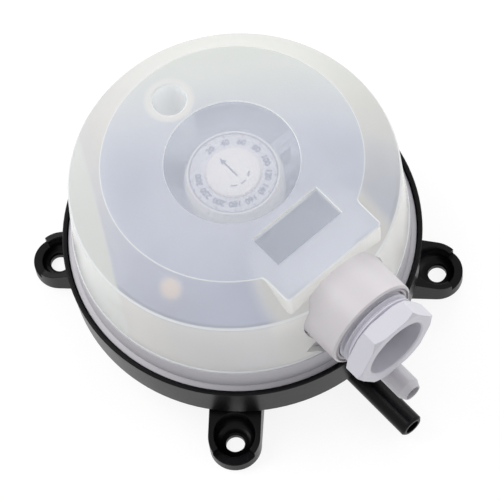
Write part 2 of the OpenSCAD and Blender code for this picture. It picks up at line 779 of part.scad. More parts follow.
// Half section of the cover: the outside or the inside of its shell
module cover_half(outside) {
    out = [[0, skirt_z], [cover_r, skirt_z], [shoulder_r + 0.1, shoulder_z - 1.6]];
    blend = [shoulder_r - 2.4, shoulder_z - 1.4];
    rise = (body_h - top_bevel - shoulder_z) / (shoulder_r - disc_r - top_bevel);
    in_top = body_h - cover_wall;
    if (outside) polygon(concat(out, arc(blend, 2.4, 5, 90 - atan(rise), 5),
        [[disc_r + top_bevel, body_h - top_bevel], [disc_r, body_h], [0, body_h]]));
    else polygon([[0, skirt_z - 1], [cover_in_r, skirt_z - 1],
        [cover_in_r, skirt_z + lip_h + ease], [shoulder_r - cover_wall, shoulder_z - 1.4],
        [disc_r - 1.1, in_top], [0, in_top]]);
}

// The box over the gland, or with an inset the space in it
module gland_box(inset) {
    half = box_w / 2 - inset;
    front = box_reach - inset;
    low = skirt_z - (inset > 0 ? 1 : 0);
    translate([0, 0, low]) linear_extrude(body_h - inset - low) {
        translate([-half, -front + box_round]) square([2 * half, front - box_round - box_back]);
        translate([-half + box_round, -front]) square([2 * (half - box_round), 2 * box_round]);
        for (s = [-1, 1]) translate([s * (half - box_round), -front + box_round])
            circle(r = box_round, $fn = 32);
    }
}

// Fillets in the two corners between the box and the disc on top
module box_fillets() {
    x = box_w / 2 + fillet_r;
    y = -sqrt(pow(disc_r + fillet_r, 2) - x * x);
    k = (disc_r - 1) / (disc_r + fillet_r);
    for (s = [0, 1]) mirror([s, 0, 0]) translate([0, 0, body_h - shoulder_drop / 2])
        linear_extrude(shoulder_drop / 2) difference() {
            polygon([[box_w / 2 - 2, y], [x, y], [x * k, y * k], [box_w / 2 - 2, y * k]]);
            translate([x, y]) circle(r = fillet_r, $fn = 64);
        }
}

// What the bevel takes off the box's top edges
module box_bevel() {
    edge = [[-1, -top_bevel - 1], [top_bevel + 1, 1], [-1, 1]];
    translate([-box_w, -box_reach, body_h]) rotate([90, 0, 90]) linear_extrude(2 * box_w)
        polygon(edge);
    y = sqrt(pow(disc_r + fillet_r, 2) - pow(box_w / 2 + fillet_r, 2));
    for (s = [0, 1]) mirror([s, 0, 0]) translate([-box_w / 2, -y, body_h]) rotate([90, 0, 0])
        linear_extrude(box_reach - y + 1) polygon(edge);
}

// Cut-out in the cover's front: it hugs the collar, and runs out through the foot between
// two notched legs
module arch() {
    bar_y(collar_r + arch_gap, cradle_y, skirt_r + 2, gland_z);
    translate([0, -cradle_y, 0]) rotate([90, 0, 0]) linear_extrude(skirt_r + 2 - cradle_y)
        polygon([[-foot_gap, skirt_z - 1], [-foot_gap, skirt_z], [-notch_w, notch_z],
            [-notch_top_w, notch_top_z], [notch_top_w, notch_top_z], [notch_w, notch_z],
            [foot_gap, skirt_z], [foot_gap, skirt_z - 1]]);
}

module cover() {
    color("#e4eae8", 0.6) difference() {
        union() {
            difference() {
                union() {
                    rotate_extrude() cover_half(true);
                    difference() {
                        gland_box(0);
                        box_bevel();
                    }
                    box_fillets();
                }
                rotate_extrude() cover_half(false);
                gland_box(cover_wall);
                arch();
            }
            translate([0, well_reach, pillar_z]) cylinder(r = well_r + well_wall,
                h = body_h - pillar_z - top_bevel - eps);
        }
        translate([0, 0, body_h - field_depth]) cylinder(r = window_r, h = field_depth + 1);
        translate([-label_w / 2, -label_reach - label_d / 2, body_h - field_depth])
            cube([label_w, label_d, field_depth + 1]);
        translate([0, well_reach, pillar_z + well_floor_t]) cylinder(r = well_r, h = body_h);
        translate([0, well_reach, body_h - top_bevel]) cylinder(r1 = well_r,
            r2 = well_r + 2 * top_bevel, h = 2 * top_bevel);
        translate([0, well_reach, pillar_z - 1]) cylinder(r = cover_screw_r + slip,
            h = well_floor_t + 2, $fn = 32);
    }
}

module cover_seal() {
    color("#6f7074") difference() {
        ring(cover_in_r - 0.02, lip_r + 0.02, skirt_z, skirt_z + 0.9);
        translate([-collar_r - arch_gap, -skirt_r - 1, skirt_z - 1])
            cube([2 * (collar_r + arch_gap), skirt_r / 2, lip_h + 2]);
    }
}

module cover_screw() {
    color("#c9ccd2") translate([0, well_reach, pillar_z + well_floor_t])
        pan_screw(cover_screw_r - cover_screw_ease, cover_head_r, cover_head_t,
            well_floor_t + cover_screw_bite);
}

module gland_collar() {
    back_y = cradle_y - cradle_t;
    low_y = back_y - collar_flange_t;
    lip_y = collar_reach - mouth_step;
    groove_y = collar_reach - mouth_depth;
    color("#e6e2e0") turned() polygon([[neck_bore_r, low_y], [collar_r, low_y],
        [collar_r, back_y], [neck_r, back_y], [neck_r, cradle_y], [collar_r, cradle_y],
        [collar_r, collar_reach - mouth_bevel], [collar_r - mouth_bevel, collar_reach],
        [mouth_groove_r, collar_reach], [mouth_groove_r, groove_y], [mouth_lip_r, groove_y],
        [mouth_lip_r, lip_y], [collar_in_r + mouth_step, lip_y], [collar_in_r, groove_y],
        [collar_in_r, seal_seat_y], [neck_bore_r, seal_seat_y]]);
}

module gland_seal() {
    color("#4a4a4e") difference() {
        bar_y(seal_r, seal_seat_y, seal_seat_y + seal_t, gland_z);
        bar_y(cable_r, seal_seat_y - 1, seal_seat_y + seal_t + 1, gland_z);
    }
}

module gland_washer() {
    from = seal_seat_y + seal_t;
    color("#e8e6e2") difference() {
        bar_y(seal_r, from, from + gland_washer_t, gland_z);
        bar_y(cable_r + 1.5, from - 1, from + gland_washer_t + 1, gland_z);
    }
}

// One ring of the gland thread, from root to root
function thread_ring(y) = [[gland_root_r, y], [gland_thread_r, y + thread_flank],
    [gland_thread_r, y + thread_flank + thread_crest],
    [gland_root_r, y + 2 * thread_flank + thread_crest]];

// Hexagonal head of the gland screw, its corners bevelled at both ends
module gland_head() {
    corner_r = gland_flats / 2 / cos(30);
    end_r = corner_r - gland_bevel / tan(30) + 0.1;
    translate([0, -gland_back_y, gland_z]) rotate([90, 0, 0]) intersection() {
        cylinder(r = corner_r, h = gland_head_t, $fn = 6);
        rotate_extrude() polygon([[0, 0], [end_r, 0], [corner_r + 0.1, gland_bevel],
            [corner_r + 0.1, gland_head_t - gland_bevel], [end_r, gland_head_t],
            [0, gland_head_t]]);
    }
}

module gland_screw() {
    crests = floor((gland_back_y - gland_tip_y - 1) / gland_pitch);
    first_y = gland_back_y - 0.7 - crests * gland_pitch;
    color("#d5d3dc") difference() {
        union() {
            turned() polygon(concat([[gland_bore_r - 1, gland_tip_y]],
                [[gland_root_r - 0.3, gland_tip_y], [gland_root_r, gland_tip_y + 0.3]],
                [for (i = [0:crests - 1]) each thread_ring(first_y + i * gland_pitch)],
                [[gland_root_r, gland_back_y + eps], [gland_bore_r - 1, gland_back_y + eps]]));
            gland_head();
        }
        bar_y(gland_bore_r, gland_tip_y - 1, gland_front_y + 1, gland_z);
        bar_y(gland_bore_r, gland_front_y - top_bevel, gland_front_y + top_bevel, gland_z, 0,
            gland_bore_r + 2 * top_bevel);
    }
}

module housing_screws() {
    color("#c9ccd2") for (a = housing_screw_angles) rotate(a)
        translate([housing_screw_gap, 0, housing_seat_z]) rotate([180, 0, 0])
        pan_screw(housing_screw_r - 0.2, housing_head_r, housing_head_t,
            flange_z + housing_bite - housing_seat_z);
}

lower_housing();
upper_housing();
diaphragm();
diaphragm_plate();
backing_washer();
stem();
spring_cup();
range_spring();
spring_nut();
adjuster_screw();
tower_cap();
tower_cap_screws();
setting_knob();
scale_disc();
switch_body();
switch_lever();
switch_plunger();
switch_screws();
terminal_block();
terminal_clamps();
terminal_screws();
earth_clamp();
earth_screw();
cover();
cover_seal();
cover_screw();
gland_collar();
gland_seal();
gland_washer();
gland_screw();
housing_screws();
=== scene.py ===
"""Dressed model of an adjustable differential pressure switch for air.

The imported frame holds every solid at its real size. This script gives the moulded
housings, the milky cover, the knob under its window and the cable gland their edges,
prints and finishes, and sets them in a pale studio.
"""

from __future__ import annotations

import json
import logging
import math
from dataclasses import dataclass
from enum import Enum
from typing import Any

import bmesh
import bpy
from mathutils import Matrix, Vector

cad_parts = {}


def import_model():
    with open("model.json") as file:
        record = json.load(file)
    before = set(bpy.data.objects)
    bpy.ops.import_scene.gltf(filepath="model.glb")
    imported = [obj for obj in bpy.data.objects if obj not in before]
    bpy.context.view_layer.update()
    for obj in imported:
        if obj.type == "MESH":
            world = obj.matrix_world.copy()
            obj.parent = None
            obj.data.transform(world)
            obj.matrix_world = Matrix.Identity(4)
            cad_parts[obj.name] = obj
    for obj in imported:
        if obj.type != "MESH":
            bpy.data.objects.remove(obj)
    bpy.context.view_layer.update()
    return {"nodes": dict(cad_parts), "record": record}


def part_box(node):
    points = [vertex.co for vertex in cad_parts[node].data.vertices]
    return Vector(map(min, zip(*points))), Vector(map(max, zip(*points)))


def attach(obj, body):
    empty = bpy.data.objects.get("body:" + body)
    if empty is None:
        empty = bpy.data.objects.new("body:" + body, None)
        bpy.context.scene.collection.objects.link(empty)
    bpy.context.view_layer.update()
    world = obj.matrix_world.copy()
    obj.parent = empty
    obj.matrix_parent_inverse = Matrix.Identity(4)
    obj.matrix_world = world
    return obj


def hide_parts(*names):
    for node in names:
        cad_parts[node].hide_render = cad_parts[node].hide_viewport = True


LOG = logging.getLogger("pressure_switch")
MM = 0.001
# Corners that a cut leaves nearer to each other than this are one corner
WELD_MM = 0.002

Point = tuple[float, float]
Colour = tuple[float, float, float, float]
Object = bpy.types.Object
Tree = bpy.types.NodeTree
Socket = bpy.types.NodeSocket
# What feeds a node: an output, or a node for its first output
Feed = bpy.types.Node | bpy.types.NodeSocket
WHITE: Colour = (1.0, 1.0, 1.0, 1.0)


class Slot(Enum):
    """The record's material slots."""

    BLACK = "black_polycarbonate"
    GREY = "grey_polycarbonate"
    COVER = "clear_cover"
    COLLAR = "white_collar"
    GLAND = "grey_gland"
    KNOB = "white_knob"
    SCALE = "printed_scale"
    SILICONE = "silicone"
    RUBBER = "black_rubber"
    STEEL = "bright_steel"
    ALUMINIUM = "sheet_aluminium"
    BRASS = "terminal_brass"
    ACETAL = "cream_acetal"
    BUTTON = "red_button"


class Change(Enum):
    """What one mesh does to another."""

    JOIN = "UNION"
    CUT = "DIFFERENCE"
    CROP = "INTERSECT"


def linear(code: str) -> Colour:
    """Turns an sRGB hex colour into the linear colour that shaders take.

    Args:
        code: Six hex digits after a hash.

    Returns:
        Red, green, blue and an alpha of 1.
    """
    channels = []
    for start in (1, 3, 5):
        value = int(code[start : start + 2], 16) / 255
        channels.append(value / 12.92 if value <= 0.04045 else ((value + 0.055) / 1.055) ** 2.4)
    return (channels[0], channels[1], channels[2], 1.0)


def add_node(
    tree: Tree, kind: str, links: dict[int | str, object] | None = None, **settings: object
) -> bpy.types.Node:
    """Adds a shader node, sets it up and links it.

    Args:
        tree: The nodes to add to.
        kind: Blender's name of the node type without "ShaderNode".
        links: For each input, what feeds it or the value it holds.
        settings: The node's own properties.

    Returns:
        The new node.
    """
    node = tree.nodes.new(f"ShaderNode{kind}")
    for name, value in settings.items():
        setattr(node, name, value)
    for key, value in (links or {}).items():
        if isinstance(value, bpy.types.Node):
            value = value.outputs[0]
        if isinstance(value, Socket):
            tree.links.new(value, node.inputs[key])
        else:
            node.inputs[key].default_value = value
    return node


def new_material(name: str) -> tuple[bpy.types.Material, Tree]:
    """Makes an empty node material.

    Args:
        name: The material's name.

    Returns:
        The material and its node tree, with no node in it.
    """
    material = bpy.data.materials.new(name)
    material.use_nodes = True
    material.node_tree.nodes.clear()
    return material, material.node_tree


def grain(tree: Tree, size_mm: float, detail: float = 3.0) -> Feed:
    """Adds a noise whose grains have a real size.

    Args:
        tree: The nodes to add to.
        size_mm: Size of one grain.
        detail: How many finer octaves it has.

    Returns:
        The noise, from 0 to 1.
    """
    place = add_node(tree, "TexCoord").outputs["Object"]
    links = {"Vector": place, "Scale": 1 / (size_mm * MM), "Detail": detail}
    return add_node(tree, "TexNoise", links)


def any_ray(tree: Tree, *kinds: str) -> Feed:
    """Adds a number that tells some kinds of rays from the rest.

    Args:
        tree: The nodes to add to.
        kinds: The kinds, such as Camera.

    Returns:
        1 for rays of these kinds, 0 for the others.
    """
    ray = add_node(tree, "LightPath").outputs
    found: Feed = ray[f"Is {kinds[0]} Ray"]
    for kind in kinds[1:]:
        both = {0: found, 1: ray[f"Is {kind} Ray"]}
        found = add_node(tree, "Math", both, operation="MAXIMUM")
    return found


@dataclass(frozen=True)
class MouldedPlastic:
    """An opaque injection-moulded plastic: the mould's spark-eroded texture, edges that the
    mould leaves slightly round, and a shade and gloss that drift a little over the part. The
    texture is drawn about as coarse as the render can show."""

    name: str
    colour: str
    shade: str
    roughness: float
    ior: float = 1.58
    specular: float = 0.5
    edge_mm: float = 0.25
    texture_mm: float = 0.35
    texture_depth_mm: float = 0.02
    drift_mm: float = 9.0
    gloss_drift: float = 0.05

    def build(self) -> bpy.types.Material:
        """Makes two close shades, uneven gloss, soft edges and the texture.

        Returns:
            The material.
        """
        material, tree = new_material(self.name)
        broad, drift = grain(tree, self.drift_mm, 2.0), self.gloss_drift
        shades = {0: broad, 6: linear(self.colour), 7: linear(self.shade)}
        gloss = {0: broad, 3: self.roughness - drift, 4: self.roughness + drift}
        relief = {
            "Height": grain(tree, self.texture_mm),
            "Distance": self.texture_depth_mm * MM,
            "Normal": add_node(tree, "Bevel", {"Radius": self.edge_mm * MM}, samples=4),
        }
        look = {
            "Base Color": add_node(tree, "Mix", shades, data_type="RGBA").outputs[2],
            "Roughness": add_node(tree, "MapRange", gloss),
            "Normal": add_node(tree, "Bump", relief),
            "IOR": self.ior,
            "Specular IOR Level": self.specular,
        }
        add_node(tree, "OutputMaterial", {"Surface": add_node(tree, "BsdfPrincipled", look)})
        return material


@dataclass(frozen=True)
class Metal:
    """A bare metal with fine marks from how it was made."""

    name: str
    colour: str
    roughness: float
    marks_mm: float = 0.25
    marks_depth_mm: float = 0.004
    gloss_drift: float = 0.08

    def build(self) -> bpy.types.Material:
        """Makes full metal with uneven gloss and the marks as bump.

        Returns:
            The material.
        """
        material, tree = new_material(self.name)
        marks, drift = grain(tree, self.marks_mm), self.gloss_drift
        gloss = {0: marks, 3: self.roughness - drift, 4: self.roughness + drift}
        relief = {"Height": marks, "Distance": self.marks_depth_mm * MM}
        look = {
            "Base Color": linear(self.colour),
            "Metallic": 1.0,
            "Roughness": add_node(tree, "MapRange", gloss),
            "Normal": add_node(tree, "Bump", relief),
        }
        add_node(tree, "OutputMaterial", {"Surface": add_node(tree, "BsdfPrincipled", look)})
        return material


@dataclass(frozen=True)
class PaleColumn:
    """Something upright and pale close behind the milky plastic, which shows as a soft painted
    patch; over the shiny earth screw the patch is a painted glint. With a height it is a small
    head instead, and the patch is round on a slope too."""

    colour: str
    x: float
    y: float
    gone: float
    full: float
    z: float | None = None

    def reach(self, tree: Tree) -> Socket:
        """Adds the distance from the column's axis, or from the head.

        Args:
            tree: The nodes to add to.

        Returns:
            The distance, in metres.
        """
        place = add_node(tree, "TexCoord").outputs["Object"]
        counted = {0: place, 1: (1, 1, 0 if self.z is None else 1)}
        flat = add_node(tree, "VectorMath", counted, operation="MULTIPLY")
        ends = {0: flat, 1: (self.x * MM, self.y * MM, (self.z or 0) * MM)}
        return add_node(tree, "VectorMath", ends, operation="DISTANCE").outputs["Value"]


@dataclass(frozen=True)
class PaleSide:
    """A side of the cover that is painted paler beyond a line square to an angle round the axis:
    for a straight screen close behind the plastic, and as painted light where the plastic
    carries light from the lamps."""

    colour: str
    angle: float
    gone: float
    full: float

    def reach(self, tree: Tree) -> Socket:
        """Adds the distance from the axis towards the angle.

        Args:
            tree: The nodes to add to.

        Returns:
            The distance, in metres.
        """
        place = add_node(tree, "TexCoord").outputs["Object"]
        turn = math.radians(self.angle)
        facing = {0: place, 1: (math.cos(turn), math.sin(turn), 0)}
        return add_node(tree, "VectorMath", facing, operation="DOT_PRODUCT").outputs["Value"]


@dataclass(frozen=True)
class MilkyPolycarbonate:
    """Natural, slightly milky polycarbonate. Square on it lets the dark inside through, blurred,
    which reads as a cool blue, and at a glancing angle the longer way through it is white."""

    name: str
    milk: str
    thin_milk: str
    tint: str
    roughness: float
    haze: float
    milk_square: float
    milk_glancing: float
    bend: float = 1.3
    texture_mm: float = 0.3
    texture_depth_mm: float = 0.004
    let_light_in: float = 0.85
    clouds_mm: float = 14.0
    clouds: float = 0.1
    # Pale patches, for parts close behind the plastic and as painted light, and how much milkier
    # each makes it
    backings: tuple[PaleColumn | PaleSide, ...] = ()
    backed: float = 0.4
    square_until: float = 0.06
    glancing_from: float = 0.6
    passed_on: float = 0.4
    gloss_ior: float = 1.45

    def patch(self, tree: Tree, pale_patch: PaleColumn | PaleSide) -> Feed:
        """Adds a number that is 1 over a pale patch and fades to 0 away from it."""
        limits = {0: pale_patch.reach(tree), 1: pale_patch.gone * MM, 2: pale_patch.full * MM}
        return add_node(tree, "MapRange", limits, interpolation_type="SMOOTHSTEP")

    def milk_body(self, tree: Tree, depth: Feed, patches: list[Feed], normal: Feed) -> Feed:
        """Adds the milk itself, which throws light back and passes a share of it on.

        Args:
            tree: The nodes to add to.
            depth: 0 square on, 1 at a glancing angle.
            patches: Where each pale patch shows.
            normal: The surface's normal with its texture.

        Returns:
            The milk's shader.
        """
        tones = {0: depth, 6: linear(self.thin_milk), 7: linear(self.milk)}
        colour = add_node(tree, "Mix", tones, data_type="RGBA").outputs[2]
        for patch, pale_patch in zip(patches, self.backings):
            tones = {0: patch, 6: colour, 7: linear(pale_patch.colour)}
            colour = add_node(tree, "Mix", tones, data_type="RGBA").outputs[2]
        scatter = {"Color": colour, "Normal": normal}
        thrown = add_node(tree, "BsdfDiffuse", scatter)
        passed = add_node(tree, "BsdfTranslucent", scatter)
        return add_node(tree, "MixShader", {0: self.passed_on, 1: thrown, 2: passed})

    def milk_share(self, tree: Tree, depth: Feed, patches: list[Feed]) -> Feed:
        """Adds how milky the plastic looks, with faint clouds from the mould's flow.

        Args:
            tree: The nodes to add to.
            depth: 0 square on, 1 at a glancing angle.
            patches: Where each pale patch shows.

        Returns:
            0 for clear, 1 for milk.
        """
        by_angle = {0: depth, 3: self.milk_square, 4: self.milk_glancing}
        share = add_node(tree, "MapRange", by_angle)
        cloud = {0: grain(tree, self.clouds_mm, 2.0), 3: -self.clouds, 4: self.clouds}
        both = {0: share, 1: add_node(tree, "MapRange", cloud)}
        share = add_node(tree, "Math", both, operation="ADD", use_clamp=True)
        for patch in patches:
            more = {0: patch, 1: self.backed, 2: share}
            share = add_node(tree, "Math", more, operation="MULTIPLY_ADD", use_clamp=True)
        return share

    def build(self) -> bpy.types.Material:
        """Mixes the milk with a hazy clear body by viewing angle, under a thin gloss.

        Returns:
            The material.
        """
        material, tree = new_material(self.name)
        relief = {"Height": grain(tree, self.texture_mm), "Distance": self.texture_depth_mm * MM}
        normal = add_node(tree, "Bump", relief)
        angle = add_node(tree, "LayerWeight", {"Blend": 0.5}).outputs["Facing"]
        limits = {0: angle, 1: self.square_until, 2: self.glancing_from}
        depth = add_node(tree, "MapRange", limits)
        patches = [self.patch(tree, pale_patch) for pale_patch in self.backings]
        body = self.milk_body(tree, depth, patches, normal)
        share = self.milk_share(tree, depth, patches)
        hazy = {"Color": linear(self.tint), "Roughness": self.haze, "IOR": self.bend}
        clear = add_node(tree, "BsdfRefraction", {**hazy, "Normal": normal})
        inside = add_node(tree, "MixShader", {0: share, 1: clear, 2: body})
        mirror = {"Color": WHITE, "Roughness": self.roughness, "Normal": normal}
        gloss = add_node(tree, "BsdfGlossy", mirror)
        sheen = add_node(tree, "Fresnel", {"IOR": self.gloss_ior, "Normal": normal})
        coated = add_node(tree, "MixShader", {0: sheen, 1: inside, 2: gloss})
        # Lamp light and scattered light go straight in, by this share
        unseen = {0: any_ray(tree, "Shadow", "Diffuse"), 1: self.let_light_in}
        straight = add_node(tree, "Math", unseen, operation="MULTIPLY")
        gone = add_node(tree, "BsdfTransparent", {"Color": WHITE})
        final = add_node(tree, "MixShader", {0: straight, 1: coated, 2: gone})
        add_node(tree, "OutputMaterial", {"Surface": final})
        return material


FINISHES: dict[Slot, MouldedPlastic | Metal] = {
    # Black polycarbonate off a spark-eroded mould: deep black with a narrow satin shine
    Slot.BLACK: MouldedPlastic(
        "black_polycarbonate_moulded", "#050407", "#08070a", 0.3, specular=0.1, edge_mm=0.3
    ),
    # Light grey polycarbonate with a faint lavender cast, satin
    Slot.GREY: MouldedPlastic("grey_polycarbonate_moulded", "#bfbdc2", "#b9b7bd", 0.42),
    # Warm white polyamide of the collar, satin
    Slot.COLLAR: MouldedPlastic(
        "warm_white_polyamide_moulded", "#cbc7ca", "#c5c1c5", 0.42, ior=1.53
    ),
    # Cool light grey polyamide of the gland screw, satin
    Slot.GLAND: MouldedPlastic("cool_grey_polyamide_moulded", "#cdccd5", "#c7c6cf", 0.38, ior=1.53),
    # White acetal of the knob: slippery, so it keeps a soft shine
    Slot.KNOB: MouldedPlastic("white_acetal_moulded", "#f6e8dc", "#f1e3d7", 0.35, ior=1.48),
    # Printed polyester film under the numbers, matt
    Slot.SCALE: MouldedPlastic(
        "printed_polyester_film", "#dbd0cd", "#d5cac8", 0.5, ior=1.5, edge_mm=0.05
    ),
    # Brown silicone rubber, matt
    Slot.SILICONE: MouldedPlastic(
        "brown_silicone_rubber_moulded", "#94613f", "#8a5738", 0.6, ior=1.41
    ),
    # Black nitrile rubber, matt and greyish
    Slot.RUBBER: MouldedPlastic(
        "black_nitrile_rubber_moulded", "#3a3a3d", "#333336", 0.65, ior=1.52, specular=0.3
    ),
    # Cream acetal, slippery and satin
    Slot.ACETAL: MouldedPlastic("cream_acetal_moulded", "#e3d9c0", "#ddd2b8", 0.35, ior=1.48),
    # Red phenolic button, satin
    Slot.BUTTON: MouldedPlastic("red_phenolic_moulded", "#a5342a", "#9b2e25", 0.35, ior=1.6),
    # Zinc plate on steel: bright, with the fine grey marks of tumbling
    Slot.STEEL: Metal("zinc_plated_steel", "#c4c6c9", 0.32),
    # Rolled aluminium sheet: a little duller
    Slot.ALUMINIUM: Metal("rolled_aluminium_sheet", "#bdbfc2", 0.38),
    # Stamped brass with a peach cast, a little dull
    Slot.BRASS: Metal("stamped_brass", "#e2b98f", 0.45),
}

# The print on the dial: dark grey screen ink, flat, with hardly any shine
INK = MouldedPlastic(
    "grey_screen_ink_printed", "#585b6e", "#525568", 0.6,
    ior=1.5, edge_mm=0.02, texture_depth_mm=0.002,
)


class Surface(Enum):
    """The cover's surfaces in the order of its materials: those that its mould gives it, and a
    painted glow on its edges.
    """

    WALL = 0
    FROST = 1
    POLISHED = 2
    # Painted glow on edges that carry light
    EDGE = 3


COVER_FINISHES: dict[Surface, MilkyPolycarbonate] = {
    # Satin wall and shoulder: white where it is seen edge on, cool where the dark shows through.
    # Its pale places are painted light at the back right, for the light that the plastic
    # carries, the inner screen, a painted glint where the brass head of the earth screw lies
    # behind, and the white collar.
    Surface.WALL: MilkyPolycarbonate(
        "milky_polycarbonate_wall", milk="#dfdedb", thin_milk="#e9edf8", tint="#d3d9e9",
        roughness=0.25, haze=0.5, milk_square=0.5, milk_glancing=0.98,
        backings=(
            # Painted light: light that the plastic carries at the back right
            PaleSide("#dfe1db", angle=30.0, gone=10.0, full=33.0),
            PaleSide("#e3e6e3", angle=152.7, gone=31.8, full=33.0),
            # Painted glint where the brass head of the earth screw lies behind
            PaleColumn("#ede5e0", x=-30.5, y=-13.4, z=55.0, gone=3.7, full=1.3),
            PaleColumn("#e6e6e3", x=0.0, y=-33.0, gone=20.0, full=15.5),
        ),
    ),
    # Frosted disc: a coarser texture that blurs what lies under it. Its pale places are painted
    # light at the back, for the light that the plastic carries, and the well's tube.
    Surface.FROST: MilkyPolycarbonate(
        "milky_polycarbonate_frosted", milk="#dee0e3", thin_milk="#e3e7f1", tint="#d0d6e6",
        roughness=0.5, haze=0.75, milk_square=0.62, milk_glancing=1.0,
        texture_mm=0.45, texture_depth_mm=0.03,
        backings=(
            # Painted light: light that the plastic carries at the back
            PaleSide("#e0e4df", angle=52.0, gone=-2.0, full=36.0),
            PaleColumn("#ebebea", x=0.0, y=22.0, gone=6.4, full=4.8),
        ),
    ),
    # Polished window and label field: the knob and the terminals can be seen through them
    Surface.POLISHED: MilkyPolycarbonate(
        "milky_polycarbonate_polished", milk="#e6eaf3", thin_milk="#e0e6f4", tint="#f0f4f7",
        roughness=0.1, haze=0.0, milk_square=0.3, milk_glancing=0.8,
        bend=1.06, let_light_in=0.95, clouds=0.02,
    ),
    # Edges of the fields, the foot and the well: a near-white painted glow for the light they carry
    Surface.EDGE: MilkyPolycarbonate(
        "milky_polycarbonate_painted_glow_edge", milk="#f4f7f8", thin_milk="#f3f7f8", tint="#dfe4ee",
        roughness=0.2, haze=0.5, milk_square=0.95, milk_glancing=1.0, clouds=0.02,
    ),
}


def arc(centre: Point, radius: float, start: float, end: float, steps: int) -> list[Point]:
    """Lists points along an arc.

    Args:
        centre: The arc's centre.
        radius: Its radius.
        start: First angle, in degrees.
        end: Last angle, in degrees.
        steps: Number of steps between them.

    Returns:
        The points, one more than steps.
    """
    points = []
    for i in range(steps + 1):
        a = math.radians(start + (end - start) * i / steps)
        points.append((centre[0] + radius * math.cos(a), centre[1] + radius * math.sin(a)))
    return points


def rectangle(low: Point, high: Point) -> list[Point]:
    """Returns a rectangle's corners."""
    return [low, (high[0], low[1]), high, (low[0], high[1])]


def link_mesh(name: str, work: bmesh.types.BMesh, place: Matrix | None = None) -> Object:
    """Turns a bmesh in millimetres into an object in metres.

    Args:
        name: The object's name.
        work: The bmesh, which is freed.
        place: Where the body goes, in millimetres.

    Returns:
        The new object.
    """
    if place is not None:
        bmesh.ops.transform(work, matrix=place, verts=work.verts)
    bmesh.ops.recalc_face_normals(work, faces=work.faces)
    bmesh.ops.scale(work, vec=(MM, MM, MM), verts=work.verts)
    data = bpy.data.meshes.new(name)
    work.to_mesh(data)
    work.free()
    made = bpy.data.objects.new(name, data)
    bpy.context.scene.collection.objects.link(made)
    return made


def revolve(name: str, profile: list[Point], segments: int, place: Matrix | None = None) -> Object:
    """Turns a closed profile about the Z axis.

    Args:
        name: The object's name.
        profile: Radius and height of each corner, in millimetres, in order.
        segments: Number of steps round the axis.
        place: Where the turned body goes, in millimetres.

    Returns:
        The turned body, a closed mesh.
    """
    work = bmesh.new()
    turns = [2 * math.pi * i / segments for i in range(segments)]
    rings = []
    for r, z in profile:
        around = turns if r > 0 else turns[:1]
        rings.append([work.verts.new((r * math.cos(t), r * math.sin(t), z)) for t in around])
    for ring, after in zip(rings, rings[1:] + rings[:1]):
        for i in range(segments):
            j = (i + 1) % segments
            here = [ring[i % len(ring)], ring[j % len(ring)]]
            there = [after[j % len(after)], after[i % len(after)]]
            corners = list(dict.fromkeys(here + there))
            if len(corners) > 2:
                work.faces.new(corners)
    return link_mesh(name, work, place)


def skin(work: bmesh.types.BMesh, rings: list[list[bmesh.types.BMVert]]) -> None:
    """Closes rings of corners into a body, with a face at each end.

    Args:
        work: The bmesh that holds the corners.
        rings: The rings in order, with the same number of corners.
    """
    count = len(rings[0])
    for below, above in zip(rings, rings[1:]):
        for i in range(count):
            j = (i + 1) % count
            work.faces.new((below[i], below[j], above[j], above[i]))
    work.faces.new(rings[0])
    work.faces.new(rings[-1])


def prism(
    name: str, levels: list[tuple[list[Point], float]], place: Matrix | None = None
) -> Object:
    """Joins outlines at rising heights into a closed body.

    Args:
        name: The object's name.
        levels: Outlines with the same number of corners, each with its height, in millimetres.
        place: Where the body goes, in millimetres.

    Returns:
        The body, a closed mesh.
    """
    work = bmesh.new()
    skin(work, [[work.verts.new((x, y, z)) for x, y in outline] for outline, z in levels])
    return link_mesh(name, work, place)


def weld(piece: Object) -> None:
    """Merges corners that a cut left nearly on each other, so that the mesh stays closed.

    Args:
        piece: The piece to change.
    """
    work = bmesh.new()
    work.from_mesh(piece.data)
    bmesh.ops.remove_doubles(work, verts=work.verts, dist=WELD_MM * MM)
    bmesh.ops.dissolve_degenerate(work, edges=work.edges, dist=WELD_MM * MM)
    work.to_mesh(piece.data)
    work.free()


def combine(target: Object, tool: Object, change: Change) -> None:
    """Changes one mesh with another and removes the tool.

    Args:
        target: The mesh that stays.
        tool: The mesh that is used up.
        change: Whether the tool is joined on, cut away, or crops the target.
    """
    for piece in (target, tool):
        weld(piece)
    step = target.modifiers.new("combine", "BOOLEAN")
    step.operation = change.value
    step.object = tool
    step.solver = "EXACT"
    graph = bpy.context.evaluated_depsgraph_get()
    made = bpy.data.meshes.new_from_object(target.evaluated_get(graph))
    target.modifiers.clear()
    target.data = made
    bpy.data.objects.remove(tool, do_unlink=True)


def shade(piece: Object, sharp_degrees: float) -> None:
    """Shades a piece smooth, with creases where its faces turn by more than an angle.

    Args:
        piece: The piece to change.
        sharp_degrees: The angle from which an edge stays a crease.
    """
    work = bmesh.new()
    work.from_mesh(piece.data)
    limit = math.radians(sharp_degrees)
    for edge in work.edges:
        edge.smooth = len(edge.link_faces) == 2 and edge.calc_face_angle(0.0) < limit
    for face in work.faces:
        face.smooth = True
    work.to_mesh(piece.data)
    work.free()


def dress(piece: Object, *materials: bpy.types.Material) -> None:
    """Gives a piece its materials, the first of them on every face that isn't painted.

    Args:
        piece: The piece.
        materials: Its materials in order.
    """
    piece.data.materials.clear()
    for material in materials:
        piece.data.materials.append(material)


